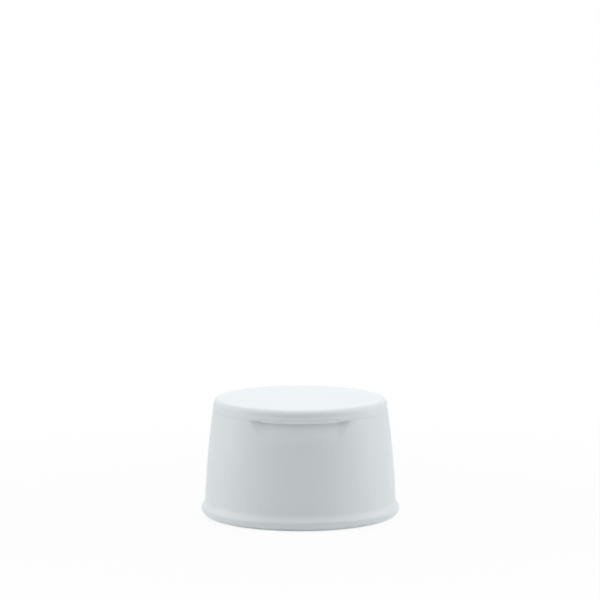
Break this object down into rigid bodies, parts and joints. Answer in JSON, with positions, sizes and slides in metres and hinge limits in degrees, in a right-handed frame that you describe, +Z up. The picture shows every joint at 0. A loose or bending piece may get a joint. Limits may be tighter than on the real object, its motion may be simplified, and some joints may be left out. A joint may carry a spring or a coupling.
{
  "type": "flip top cap",
  "caption": "Tapered plastic dispensing cap with a rounded foot, a screw socket for a bottle neck, a small pouring spout and a low flip lid on a living hinge.",
  "frame": {"origin": "centre of the foot ring, on the surface that the cap stands on", "axes": "+Z up along the cap's axis, -Y towards the thumb recess, +Y towards the hinge, +X to the right seen from the front"},
  "size_m": [0.038, 0.038, 0.0228],
  "materials": {
    "white_plastic": "satin"
  },
  "bodies": {
    "cap_base": {"base": "white_plastic", "left_hinge_film": "white_plastic", "right_hinge_film": "white_plastic", "hinge_strap": "white_plastic"},
    "flip_lid": {"lid": "white_plastic"}
  },
  "joints": [
    {"name": "lid_hinge", "type": "hinge", "parent": "cap_base", "child": "flip_lid", "pos_m": [0, 0.01793, 0.0206], "axis": [-1, 0, 0], "range_deg": [0, 180], "deforming": ["left_hinge_film", "right_hinge_film", "hinge_strap"]}
  ]
}
